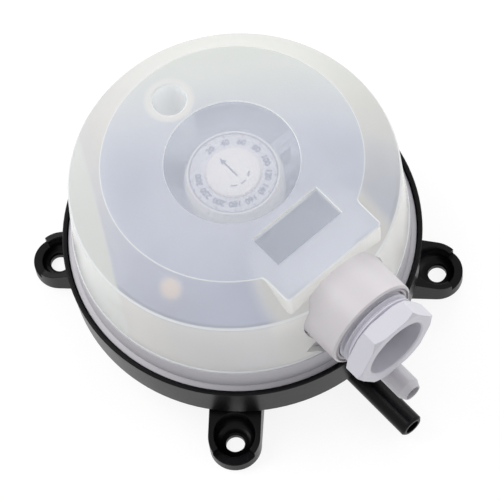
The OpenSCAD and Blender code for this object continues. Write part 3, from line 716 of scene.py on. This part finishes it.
def settle(piece: Object, body: str, slot: Slot, *nodes: str) -> None:
    """Ties a finished piece to the frame.

    Args:
        piece: The piece, in place.
        body: The body it moves with.
        slot: The slot of its finish; not used.
        nodes: The solids that it stands for.
    """
    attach(piece, body)
    if nodes:
        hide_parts(*nodes)
    LOG.info("piece %s rides on %s, %d faces", piece.name, body, len(piece.data.polygons))


def towards_front(height: float) -> Matrix:
    """Returns the turn that lays a body's Z axis along -Y at a height, in millimetres."""
    return Matrix.Translation((0, 0, height)) @ Matrix.Rotation(math.radians(90), 4, "X")


@dataclass
class Cover:
    """The milky cap with its window, label field, screw well and gland box, in mm."""

    foot_z: float
    top_z: float
    foot_r: float
    wall: float = 1.9
    segments: int = 256
    arch_segments: int = 160
    well_segments: int = 96
    corner_steps: int = 12
    # How far a cutting tool runs past what it cuts
    over: float = 1.0

    # Foot: a chamfer under a low bead that catches the light and gets the edges' painted glow, and
    # a straight seat inside
    foot_edge: float = 0.2
    bead_h: float = 0.5
    bead_out: float = 0.22
    seat_h: float = 3.3

    # Shoulder, its rounded corner over a drafted wall, and the disc with its soft bevel
    shoulder_r: float = 38.75
    shoulder_z: float = 50.0
    corner_r: float = 2.4
    corner_drop: float = 1.4
    draft: float = 5.0
    disc_r: float = 30.1
    disc_inset: float = 1.1
    bevel: float = 0.35
    bevel_middle: Point = (0.4, 0.1)

    # Window and label field, sunk with draft, and polished on the inside too
    window_r: float = 15.75
    label_w: float = 19.2
    label_d: float = 8.6
    label_reach: float = 22.4
    field_depth: float = 0.4
    field_lean: float = 0.32
    polish: float = 0.02

    # Tube that the cover's screw goes down
    well_reach: float = 22.0
    well_r: float = 4.0
    well_wall: float = 1.2
    well_foot_z: float = 36.3
    well_floor: float = 1.6
    well_sink: float = 0.4
    screw_r: float = 1.8

    # Box over the gland, with a web that rounds its corner to the disc on each side
    box_w: float = 28.5
    box_reach: float = 35.3
    box_back: float = 12.0
    box_round: float = 1.2
    web_r: float = 3.0
    web_h: float = 4.0
    web_sink: Point = (2.0, 1.0)

    # Opening round the collar, and the half width and height of the notches between its legs
    arch_r: float = 12.1
    arch_z: float = 43.2
    arch_back: float = 33.1
    arch_front: float = 42.4
    legs_half: float = 8.5
    notch: Point = (12.6, 3.4)
    neck: Point = (9.4, 7.2)

    # Where the edges' painted glow goes: the shoulder's corner and the mouth of the well
    glow_tilt: tuple[float, float] = (0.3, 0.6)
    glow_z: tuple[float, float] = (49.2, 50.1)
    glow_well_r: float = 4.9
    flat_tilt: float = 0.9
    near: float = 0.03
    crease: float = 32.0

    def outer_profile(self) -> list[Point]:
        """Draws the outside of the turned shell.

        Returns:
            Radius and height of each corner, closed along the axis.
        """
        top, disc, bevel, foot = self.top_z, self.disc_r, self.bevel, self.foot_z
        rise = top - bevel - self.shoulder_z
        slope = math.degrees(math.atan2(rise, self.shoulder_r - disc - bevel))
        centre = (self.shoulder_r - self.corner_r, self.shoulder_z - self.corner_drop)
        bead_top = foot + self.bead_h
        return [
            (0, foot),
            (self.foot_r - self.foot_edge, foot),
            (self.foot_r, foot + self.foot_edge),
            (self.foot_r, bead_top),
            (self.foot_r - self.bead_out, bead_top + self.bead_out),
            *arc(centre, self.corner_r, self.draft, 90 - slope, self.corner_steps),
            (disc + bevel, top - bevel),
            (disc + bevel * self.bevel_middle[0], top - bevel * self.bevel_middle[1]),
            (disc, top),
            (0, top),
        ]

    def inner_profile(self) -> list[Point]:
        """Draws the inside of the turned shell.

        Returns:
            Radius and height of each corner, closed along the axis.
        """
        low, in_top, in_r = self.foot_z - self.over, self.top_z - self.wall, self.foot_r - self.wall
        corner = (self.shoulder_r - self.wall, self.shoulder_z - self.corner_drop)
        seat = [(0, low), (in_r, low), (in_r, self.foot_z + self.seat_h)]
        return [*seat, corner, (self.disc_r - self.disc_inset, in_top), (0, in_top)]

    def box_outline(self, inset: float, corner_r: float) -> list[Point]:
        """Draws the gland box seen from above.

        Args:
            inset: How far inside the box's faces it runs.
            corner_r: Radius of the front corners.

        Returns:
            The outline's corners.
        """
        half, front = self.box_w / 2 - inset, self.box_reach - inset
        corner = (half - corner_r, -front + corner_r)
        right = arc(corner, corner_r, -90, 0, 8)
        left = [(-x, y) for x, y in reversed(right)]
        return [*left, *right, (half, -self.box_back), (-half, -self.box_back)]

    def gland_box(self) -> tuple[Object, Object]:
        """Builds the box over the gland.

        Returns:
            The full box, its top edges bevelled, and the space inside it.
        """
        low, top, edge = self.foot_z, self.top_z, self.bevel
        plain, small, inside = (
            self.box_outline(inset, self.box_round - less)
            for inset, less in ((0, 0), (edge, edge), (self.wall, 0))
        )
        full = prism("gland_box", [(plain, low), (plain, top - edge), (small, top)])
        space = prism("box_space", [(inside, low - self.over), (inside, top - self.wall)])
        return full, space

    def web(self, side: int) -> Object:
        """Builds the web that rounds the corner between the box and the disc.

        Args:
            side: 1 for the right corner, -1 for the left one.

        Returns:
            The web, its curved edge bevelled like the rest.
        """
        top = self.top_z
        x = self.box_w / 2 + self.web_r
        y = -math.sqrt((self.disc_r + self.web_r) ** 2 - x * x)
        inner = (self.disc_r - self.web_sink[1]) / (self.disc_r + self.web_r)
        turn = math.degrees(math.atan2(-y, -x))
        foot = self.box_w / 2 - self.web_sink[0]
        levels = []
        for grow, z in ((0, top - self.web_h), (0, top - self.bevel), (self.bevel, top)):
            curve = arc((x, y), self.web_r + grow, 180, turn, self.corner_steps)
            outline = [(foot, y), *curve, (x * inner, y * inner), (foot, y * inner)]
            levels.append(([(side * px, py) for px, py in outline], z))
        return prism("web", levels)

    def well_body(self, radius: float, low: float, high: float, flare: float = 0.0) -> Object:
        """Builds an upright cylinder on the screw well's axis, or a cone with a wider top."""
        profile = [(0, low), (radius, low), (radius + flare, high), (0, high)]
        return revolve(
            "well_body", profile, self.well_segments, Matrix.Translation((0, self.well_reach, 0))
        )

    def field_tools(self, low: float, high: float, lean: float) -> list[Object]:
        """Builds the shapes that sink the window and the label field.

        Args:
            low: Height of their foot.
            high: Height of their top.
            lean: How much they widen between them, for the mould's draft.

        Returns:
            The window's and the label's shape.
        """
        profile = [(0, low), (self.window_r, low), (self.window_r + lean, high), (0, high)]
        levels = []
        for grow, z in ((0.0, low), (lean, high)):
            half_w, half_d = self.label_w / 2 + grow, self.label_d / 2 + grow
            front, back = -self.label_reach - half_d, -self.label_reach + half_d
            levels.append((rectangle((-half_w, front), (half_w, back)), z))
        return [revolve("window", profile, self.segments), prism("label", levels)]

    def cut_arch(self, shell: Object) -> None:
        """Opens the front round the collar and down to the foot between notched legs.

        Args:
            shell: The cover's mesh.
        """
        back, front, half, foot = self.arch_back, self.arch_front, self.legs_half, self.foot_z
        bar = [(0, back), (self.arch_r, back), (self.arch_r, front), (0, front)]
        ring = revolve("arch", bar, self.arch_segments, towards_front(self.arch_z))
        combine(shell, ring, Change.CUT)
        right = [(half, foot), (self.notch[0], foot + self.notch[1])]
        right.append((self.neck[0], self.arch_z - self.neck[1]))
        left = [(-x, z) for x, z in reversed(right)]
        outline = [(-half, foot - self.over), (half, foot - self.over), *right, *left]
        levels = [(outline, back), (outline, front)]
        combine(shell, prism("legs", levels, towards_front(0)), Change.CUT)

    def cut_well(self, shell: Object) -> None:
        """Adds the tube that the cover's screw goes down, and bores it.

        Args:
            shell: The cover's mesh.
        """
        foot, top, over = self.well_foot_z, self.top_z, self.over
        floor = foot + self.well_floor
        tube = self.well_body(self.well_r + self.well_wall, foot, top - self.well_sink)
        combine(shell, tube, Change.JOIN)
        for tool in (
            self.well_body(self.well_r, floor, top + over),
            self.well_body(self.well_r, top - self.bevel, top + self.bevel, 2 * self.bevel),
            self.well_body(self.screw_r, foot - over, floor + over),
        ):
            combine(shell, tool, Change.CUT)

    def cut_fields(self, shell: Object) -> None:
        """Sinks the window and the label field, and polishes the inside under them.

        Args:
            shell: The cover's mesh.
        """
        top, under = self.top_z, self.top_z - self.wall
        sunk = self.field_tools(top - self.field_depth, top + self.field_depth, self.field_lean)
        for tool in sunk + self.field_tools(under - self.over, under + self.polish, 0.0):
            combine(shell, tool, Change.CUT)

    def surface(self, centre: Vector, tilt: float) -> Surface:
        """Picks the surface of one face.

        Args:
            centre: The face's centre, in metres.
            tilt: The upward part of its normal.

        Returns:
            The surface that the mould gives it, or the edges' painted glow.
        """
        x, y, z = (value / MM for value in centre)
        top, field = self.top_z, self.top_z - self.field_depth
        under = top - self.wall + self.polish
        bead = self.foot_z + self.bead_h + self.bead_out
        (tilt_low, tilt_high), (low, high) = self.glow_tilt, self.glow_z
        in_corner = tilt_low < tilt < tilt_high and low < z < high
        in_well = math.hypot(x, y - self.well_reach) < self.glow_well_r and z < top
        in_field_edge = field + self.near < z < top - self.near and tilt < self.flat_tilt
        # Painted glow: the foot, the shoulder's corner, the well's mouth and the fields' sides
        if z < bead + self.near or in_corner or in_well or in_field_edge:
            return Surface.EDGE
        if tilt > self.flat_tilt and abs(z - top) < self.near:
            return Surface.FROST
        if tilt > self.flat_tilt and abs(z - field) < self.near:
            return Surface.POLISHED
        if tilt < -self.flat_tilt and abs(z - under) < self.polish / 2:
            return Surface.POLISHED
        return Surface.WALL

    def build(self) -> None:
        """Builds the cover, gives each face its surface and ties it to the housing."""
        shell = revolve("cover_cap", self.outer_profile(), self.segments)
        box, space = self.gland_box()
        for piece in (box, self.web(1), self.web(-1)):
            combine(shell, piece, Change.JOIN)
        hollow = revolve("hollow", self.inner_profile(), self.segments)
        combine(hollow, space, Change.JOIN)
        combine(shell, hollow, Change.CUT)
        self.cut_arch(shell)
        self.cut_well(shell)
        self.cut_fields(shell)
        dress(shell, *(COVER_FINISHES[surface].build() for surface in Surface))
        for face in shell.data.polygons:
            face.material_index = self.surface(face.center, face.normal.z).value
        shade(shell, self.crease)
        settle(shell, "housing", Slot.COVER, "cover")


@dataclass
class GlandScrew:
    """The hollow screw of the cable gland, on an axis along -Y, in mm. Places along the axis
    are distances in front of the middle of the case."""

    axis_z: float = 43.2
    tip: float = 41.6
    head_back: float = 50.1
    head_front: float = 55.1
    segments: int = 192
    root_r: float = 9.0
    tip_edge: float = 0.3
    overlap: float = 0.5
    bore_r: float = 7.7
    bore_edge: float = 0.35
    over: float = 1.0
    crease: float = 25.0

    # Hexagon, and the cones that take its corners off at both ends
    flats: float = 20.0
    bevel: float = 0.7
    cone_angle: float = 30.0
    cone_clear: float = 0.1

    # Thread: a ridge that stops short of the shank's ends by a gap
    crest_r: float = 9.8
    pitch: float = 1.5
    ridge_w: float = 1.4
    crest_from: float = 0.55
    crest_to: float = 0.85
    ridge_sink: float = 0.15
    thread_gap: float = 0.6
    steps_per_turn: int = 96

    def shank(self) -> Object:
        """Builds the smooth core under the thread.

        Returns:
            The core, which reaches into the head.
        """
        root, tip, end, edge = self.root_r, self.tip, self.head_back + self.overlap, self.tip_edge
        profile = [(0, tip), (root - edge, tip), (root, tip + edge), (root, end), (0, end)]
        return revolve("gland_screw_turned", profile, self.segments, towards_front(self.axis_z))

    def head(self) -> Object:
        """Builds the hexagon.

        Returns:
            The hexagon, its corners bevelled at both ends.
        """
        corner_r = self.flats / 2 / math.cos(math.radians(30))
        outline = arc((0, 0), corner_r, 0, 300, 5)
        low, high, place = self.head_back, self.head_front, towards_front(self.axis_z)
        head = prism("hexagon", [(outline, low), (outline, high)], place)
        wide = corner_r + self.cone_clear
        end_r = wide - self.bevel / math.tan(math.radians(self.cone_angle))
        cone = [(0, low), (end_r, low), (wide, low + self.bevel)]
        cone += [(wide, high - self.bevel), (end_r, high), (0, high)]
        combine(head, revolve("cone", cone, self.segments, place), Change.CROP)
        return head

    def thread(self) -> Object:
        """Builds the helical ridge, which runs out of the core at the tip and into the head.

        Returns:
            The ridge, its foot sunk into the core.
        """
        start, end = self.tip + self.thread_gap, self.head_back - self.thread_gap
        count = round((end - start) / self.pitch * self.steps_per_turn)
        base = self.root_r - self.ridge_sink
        work = bmesh.new()
        rings = []
        for i in range(count + 1):
            turn = 2 * math.pi * i / self.steps_per_turn
            run = min(i, count - i) / (self.steps_per_turn / 4)
            crest = self.root_r + (self.crest_r - self.root_r) * min(1.0, run)
            rise = start + self.pitch * i / self.steps_per_turn
            top = [(crest, self.crest_from), (crest, self.crest_to)]
            section = [(base, 0.0), *top, (base, self.ridge_w)]
            around = [(r * math.cos(turn), r * math.sin(turn), rise + h) for r, h in section]
            rings.append([work.verts.new(corner) for corner in around])
        skin(work, rings)
        return link_mesh("thread", work, towards_front(self.axis_z))

    def bore(self) -> Object:
        """Builds the tool that bores the screw.

        Returns:
            The tool, with the mouth's chamfer.
        """
        low, front, mouth = self.tip - self.over, self.head_front, self.bore_r + self.bore_edge
        profile = [(0, low), (self.bore_r, low), (self.bore_r, front - self.bore_edge)]
        profile += [(mouth, front), (mouth, front + self.over), (0, front + self.over)]
        return revolve("bore", profile, self.segments, towards_front(self.axis_z))

    def build(self, material: bpy.types.Material) -> None:
        """Builds the screw and ties it to the gland.

        Args:
            material: The gland's finish.
        """
        screw = self.shank()
        combine(screw, self.thread(), Change.JOIN)
        combine(screw, self.head(), Change.JOIN)
        combine(screw, self.bore(), Change.CUT)
        dress(screw, material)
        shade(screw, self.crease)
        settle(screw, "gland", Slot.GLAND, "gland_screw")


@dataclass
class Dial:
    """The printed numbers, ticks and pointer on the setting knob, in mm."""

    face_z: float
    boss_z: float
    film: float = 0.03

    # Numbers, spread evenly over the knob's turn
    numbers: tuple[int, ...] = (20, 40, 60, 80, 100, 120, 140, 160, 180, 200, 250, 300)
    numbers_r: float = 8.05
    size: float = 2.0
    bold: float = 0.08
    sweep: float = 300.0

    # Ticks up to a thin line round the dial
    long_tick_r: float = 9.4
    short_tick_r: float = 9.75
    tick_half: float = 0.09
    line_r: float = 10.1
    line_w: float = 0.14
    line_steps: int = 96

    # Pointer on the knob's boss, and three dashes behind it
    shaft_foot: float = -1.4
    shaft_half: float = 0.2
    arrow_foot: float = 3.2
    arrow_tip: float = 4.9
    arrow_half: float = 0.7
    dash_r: Point = (3.4, 3.75)
    dash_angles: tuple[float, ...] = (140.0, 180.0, 220.0)

    def number(self, work: bmesh.types.BMesh, value: int, angle: float) -> None:
        """Adds one number, its foot towards the centre.

        Args:
            work: The print so far, in millimetres.
            value: The number.
            angle: Its place on the dial, in degrees.
        """
        text = bpy.data.curves.new("number", "FONT")
        text.body = str(value)
        text.size = self.size
        text.align_x = "CENTER"
        text.align_y = "CENTER"
        text.extrude = self.film / 2
        text.offset = self.bold
        text.resolution_u = 3
        holder = bpy.data.objects.new("number", text)
        bpy.context.scene.collection.objects.link(holder)
        graph = bpy.context.evaluated_depsgraph_get()
        made = bpy.data.meshes.new_from_object(holder.evaluated_get(graph))
        turn = Matrix.Rotation(math.radians(angle), 4, "Z")
        lift = Matrix.Translation((0, self.numbers_r, self.face_z + self.film / 2))
        made.transform(turn @ lift)
        work.from_mesh(made)
        bpy.data.objects.remove(holder, do_unlink=True)
        bpy.data.meshes.remove(made)

    def plate(self, work: bmesh.types.BMesh, outline: list[Point], z: float, angle: float) -> None:
        """Adds a flat printed shape.

        Args:
            work: The print so far, in millimetres.
            outline: Its corners before the turn.
            z: Height that it lies on.
            angle: Its place on the dial, in degrees.
        """
        turn = Matrix.Rotation(math.radians(angle), 4, "Z")
        rings = []
        for h in (z, z + self.film):
            rings.append([work.verts.new(turn @ Vector((x, y, h))) for x, y in outline])
        skin(work, rings)

    def line(self, work: bmesh.types.BMesh) -> None:
        """Adds the printed line round the ticks.

        Args:
            work: The print so far, in millimetres.
        """
        step, edges = 360 / self.line_steps, (self.line_r, self.line_r + self.line_w)
        for i in range(self.line_steps):
            near, far = (arc((0, 0), r, i * step, (i + 1) * step, 1) for r in edges)
            self.plate(work, [near[0], far[0], far[1], near[1]], self.face_z, 0)

    def pointer(self, work: bmesh.types.BMesh) -> None:
        """Adds the arrow and the dashes on the boss.

        Args:
            work: The print so far, in millimetres.
        """
        half, foot = self.arrow_half, self.arrow_foot
        self.plate(work, [(-half, foot), (half, foot), (0, self.arrow_tip)], self.boss_z, 0)
        shaft = rectangle((-self.shaft_half, self.shaft_foot), (self.shaft_half, foot))
        self.plate(work, shaft, self.boss_z, 0)
        dash = rectangle((-half, self.dash_r[0]), (half, self.dash_r[1]))
        for angle in self.dash_angles:
            self.plate(work, dash, self.boss_z, angle)

    def build(self) -> None:
        """Builds the print and ties it to the knob."""
        work = bmesh.new()
        self.line(work)
        step = self.sweep / (len(self.numbers) - 1)
        for i, value in enumerate(self.numbers):
            self.number(work, value, -i * step)
        for i in range(2 * len(self.numbers) - 1):
            start = self.short_tick_r if i % 2 else self.long_tick_r
            tick = rectangle((-self.tick_half, start), (self.tick_half, self.line_r))
            self.plate(work, tick, self.face_z, -i * step / 2)
        self.pointer(work)
        printed = link_mesh("dial_print", work)
        dress(printed, INK.build())
        settle(printed, "knob", Slot.SCALE)


@dataclass(frozen=True)
class Softbox:
    """A square lamp that points at the object: its place and side in metres, power in watts."""

    name: str
    place: tuple[float, float, float]
    size: float
    power: float

    def build(self) -> None:
        """Hangs the lamp."""
        data = bpy.data.lights.new(self.name, "AREA")
        data.size = self.size
        data.energy = self.power
        made = bpy.data.objects.new(self.name, data)
        made.location = self.place
        made.rotation_mode = "QUATERNION"
        made.rotation_quaternion = Vector(self.place).to_track_quat("Z", "Y")
        bpy.context.scene.collection.objects.link(made)


@dataclass
class Studio:
    """Pale floor, soft lamps and the camera of the photograph."""

    # Camera: its angles in degrees, and where it looks from
    azimuth: float = -34.1
    elevation: float = 63.8
    roll: float = -8.2
    distance_mm: float = 709.8
    shift_right_mm: float = -2.4
    shift_up_mm: float = 8.0
    target_z_mm: float = 30.0
    lens_mm: float = 216.0
    sensor_mm: float = 36.0
    clip_start: float = 0.01

    # Floor and sky: what lights the object, and what shows behind it, to these rays
    shown: tuple[str, ...] = ("Camera", "Glossy", "Transmission")
    floor_half_mm: float = 2500.0
    floor_drop_mm: float = 0.05
    floor_lit: str = "#ececec"
    floor_seen: str = "#707070"
    floor_glow: float = 0.87
    sky_lit: float = 0.62
    sky_seen: float = 1.0

    lamps: tuple[Softbox, ...] = (
        Softbox("key_softbox", (-0.35, 0.55, 0.85), 0.6, 5.2),
        Softbox("back_softbox", (0.75, 0.6, 0.4), 0.6, 4.6),
        Softbox("fill_softbox", (0.6, -0.5, 0.7), 0.5, 1.3),
    )

    def axes(self) -> tuple[Vector, Vector, Vector]:
        """Works out the camera's directions.

        Returns:
            Right, up and forward.
        """
        a, e, roll = (math.radians(x) for x in (self.azimuth, self.elevation, self.roll))
        forward = Vector((-math.sin(a) * math.cos(e), math.cos(a) * math.cos(e), -math.sin(e)))
        right = Vector((math.cos(a), math.sin(a), 0))
        up = right.cross(forward)
        c, s = math.cos(roll), math.sin(roll)
        return right * c + up * s, up * c - right * s, forward

    def camera(self) -> None:
        """Puts the camera where the photograph was taken from."""
        right, up, forward = self.axes()
        eye = Vector((0, 0, self.target_z_mm))
        eye -= self.shift_right_mm * right + self.shift_up_mm * up + self.distance_mm * forward
        data = bpy.data.cameras.new("camera")
        data.lens = self.lens_mm
        data.sensor_width = self.sensor_mm
        data.clip_start = self.clip_start
        made = bpy.data.objects.new("camera", data)
        turn = Matrix((right, up, -forward)).transposed().to_4x4()
        made.matrix_world = Matrix.Translation(eye * MM) @ turn
        bpy.context.scene.collection.objects.link(made)
        bpy.context.scene.camera = made

    def floor(self) -> None:
        """Lays a white floor that the camera sees as plain white, with the object's shadow."""
        work = bmesh.new()
        bmesh.ops.create_grid(work, x_segments=1, y_segments=1, size=self.floor_half_mm)
        made = link_mesh("studio_floor", work)
        made.location.z = -self.floor_drop_mm * MM
        material, tree = new_material("white_paper_sweep")
        lit = add_node(tree, "BsdfDiffuse", {"Color": linear(self.floor_lit)})
        pale = add_node(tree, "BsdfDiffuse", {"Color": linear(self.floor_seen)})
        glow = add_node(tree, "Emission", {"Color": WHITE, "Strength": self.floor_glow})
        white = add_node(tree, "AddShader", {0: pale, 1: glow})
        paper = add_node(tree, "MixShader", {0: any_ray(tree, *self.shown), 1: lit, 2: white})
        add_node(tree, "OutputMaterial", {"Surface": paper})
        dress(made, material)

    def sky(self) -> None:
        """Lights everything from a pale sky, and shows white behind the object."""
        sky = bpy.data.worlds.new("studio_sky")
        sky.use_nodes = True
        tree = sky.node_tree
        tree.nodes.clear()
        levels = {0: any_ray(tree, *self.shown), 3: self.sky_lit, 4: self.sky_seen}
        strength = add_node(tree, "MapRange", levels)
        glow = add_node(tree, "Background", {"Color": WHITE, "Strength": strength})
        add_node(tree, "OutputWorld", {"Surface": glow})
        bpy.context.scene.world = sky

    def build(self) -> None:
        """Sets up the whole studio."""
        self.camera()
        self.floor()
        self.sky()
        for lamp in self.lamps:
            lamp.build()
        bpy.context.scene.view_settings.view_transform = "Standard"
        LOG.info("studio ready, %d lamps", len(self.lamps))


def dress_nodes(frame: dict[str, Any]) -> dict[Slot, bpy.types.Material]:
    """Gives every solid of the frame the finish of its slot.


    Returns:
        The finished materials by slot.
    """
    made = {slot: finish.build() for slot, finish in FINISHES.items()}
    for part in frame["record"]["subparts"]:
        slot = Slot(part["material_slot"])
        node = frame["nodes"][part["node"]]
        if slot in made:
            dress(node, made[slot])
        LOG.info("solid %s has the finish of %s", part["node"], slot.value)
    return made


def main() -> None:
    """Builds the pieces in order round the frame."""
    logging.basicConfig(level=logging.INFO, format="%(name)s: %(message)s")
    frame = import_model()
    Studio().build()
    made = dress_nodes(frame)
    low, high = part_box("cover")
    Cover(foot_z=low.z / MM, top_z=high.z / MM, foot_r=high.x / MM).build()
    GlandScrew().build(made[Slot.GLAND])
    scale_top, knob_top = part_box("scale_disc")[1].z / MM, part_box("setting_knob")[1].z / MM
    Dial(face_z=scale_top, boss_z=knob_top).build()


if __name__ == "__main__":
    main()
